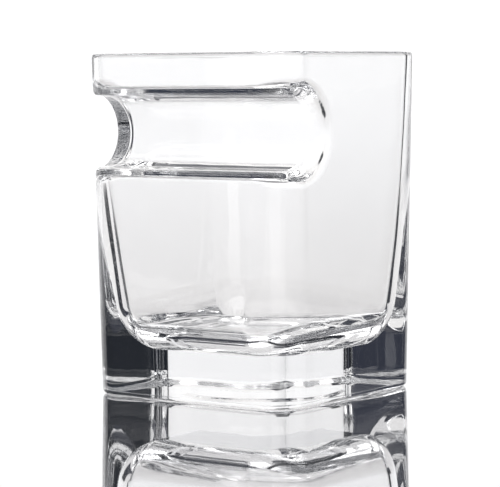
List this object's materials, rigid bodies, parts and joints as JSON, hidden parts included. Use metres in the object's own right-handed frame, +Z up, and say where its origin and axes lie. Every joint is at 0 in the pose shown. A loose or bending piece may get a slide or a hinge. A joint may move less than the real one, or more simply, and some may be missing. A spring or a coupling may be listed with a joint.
{
  "type": "whiskey tumbler",
  "caption": "Square clear glass whiskey tumbler with rounded corners, a heavy base and a U-shaped cigar channel across one face below the rim.",
  "frame": {"origin": "centre of the foot, on the surface that the tumbler stands on", "axes": "+Z up through the mouth, X along the cigar channel, -Y out of the face that the channel is cut in"},
  "size_m": [0.0716, 0.0716, 0.095],
  "materials": {
    "glass_body": "clear, fire-polished, very slightly wavy"
  },
  "bodies": {
    "root": {"glass_body": "glass_body"}
  },
  "joints": []
}
